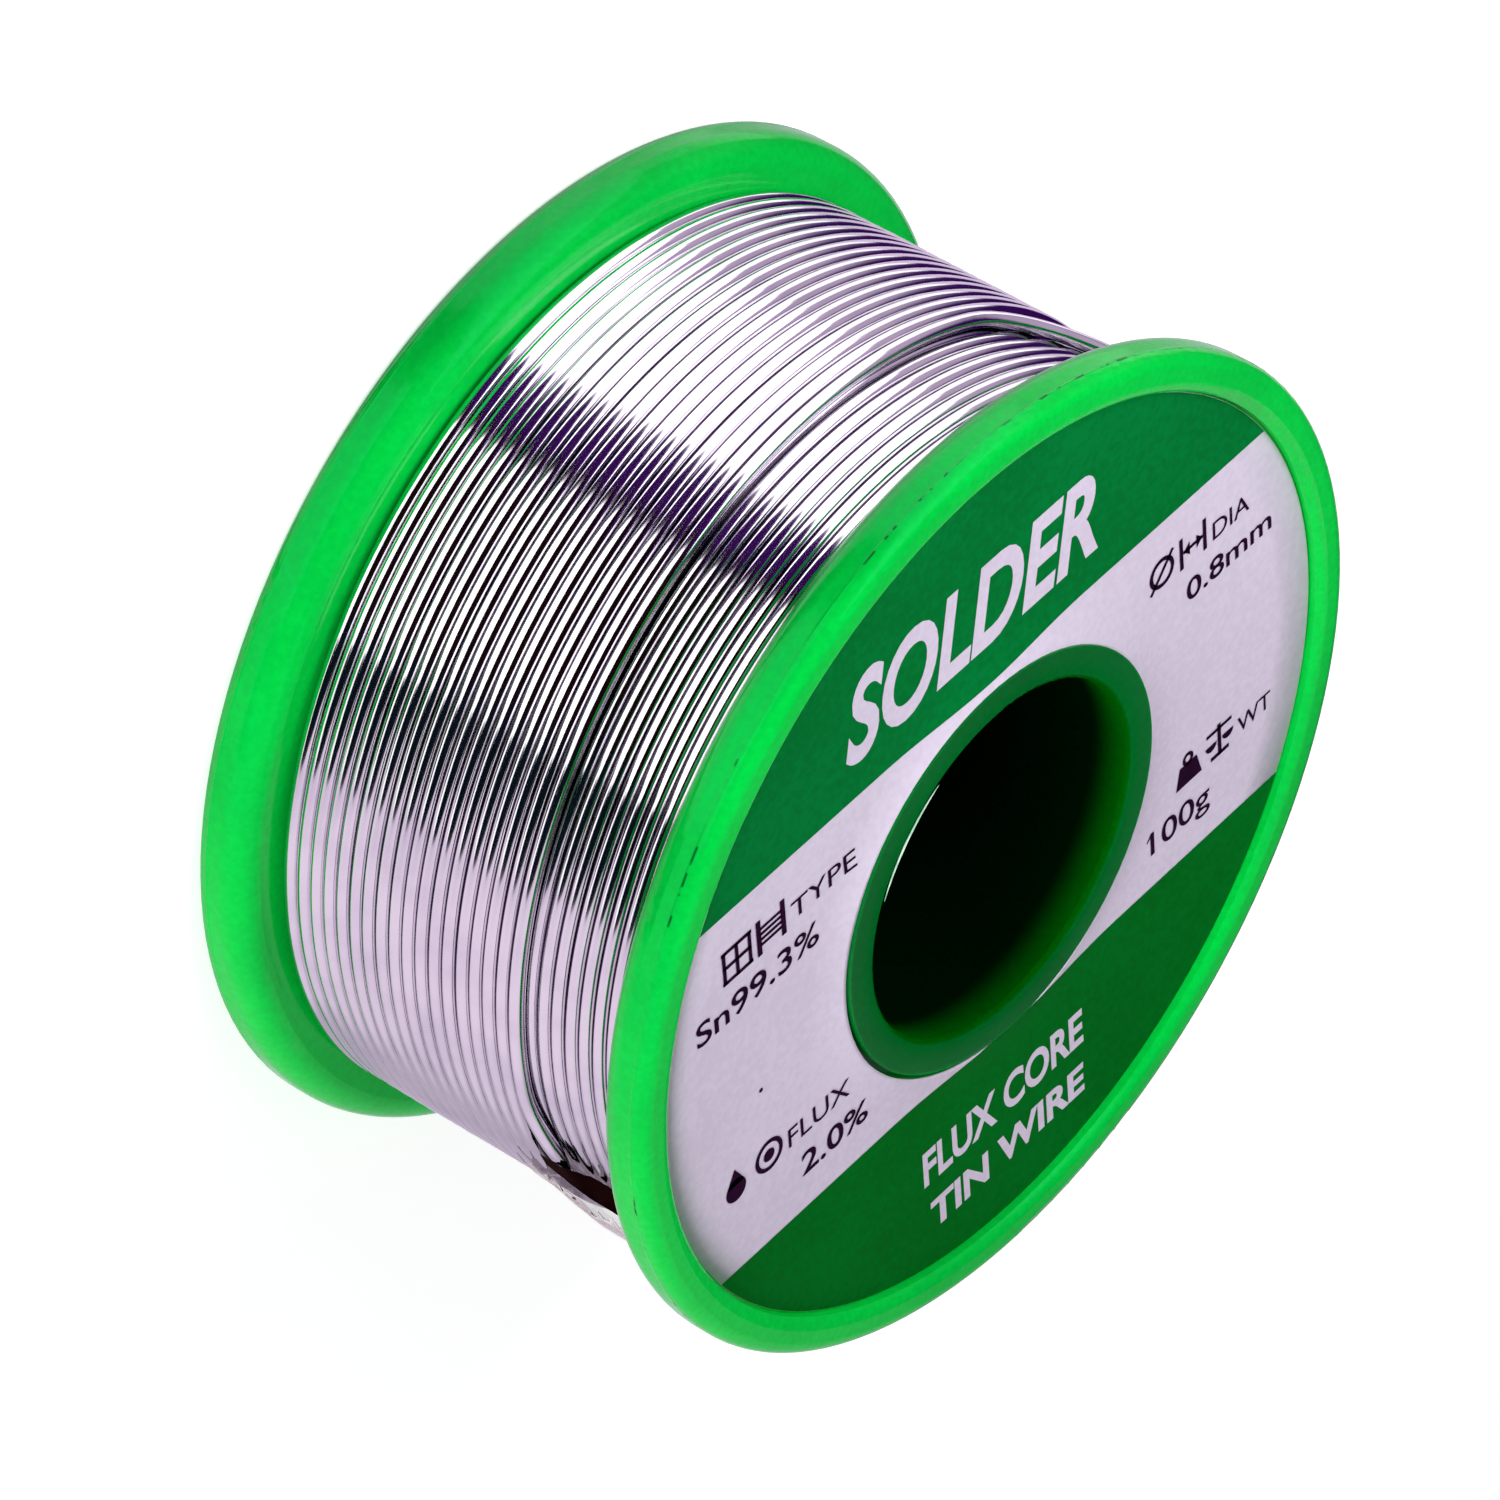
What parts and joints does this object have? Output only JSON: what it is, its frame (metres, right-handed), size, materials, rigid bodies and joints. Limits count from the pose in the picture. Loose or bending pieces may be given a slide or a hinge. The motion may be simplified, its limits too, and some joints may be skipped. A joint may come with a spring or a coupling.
{
  "type": "solder wire spool",
  "caption": "Small moulded reel with thick rounded rims and a through bore, wound with bright solder wire whose loose end is held by clear tape, under a round printed label.",
  "frame": {"origin": "centre of the rear flange's outer face, where the standing spool rests on its rim", "axes": "+Z along the bore from the rear flange to the labelled front flange, +X along the label's reading direction, +Y up the label"},
  "size_m": [0.051, 0.051, 0.027],
  "materials": {
    "spool_plastic": "gloss",
    "label_paper": "satin",
    "solder_wire": "polished",
    "flux": "gloss",
    "clear_tape": "gloss"
  },
  "bodies": {
    "root": {"rear_spool_half": "spool_plastic", "front_spool_half": "spool_plastic", "front_label": "label_paper", "wire_inner_layers": "solder_wire", "wire_ninth_layer": "solder_wire", "wire_top_layer": "solder_wire", "wire_loose_turn": "solder_wire", "flux_core": "flux", "end_tape": "clear_tape"}
  },
  "joints": []
}
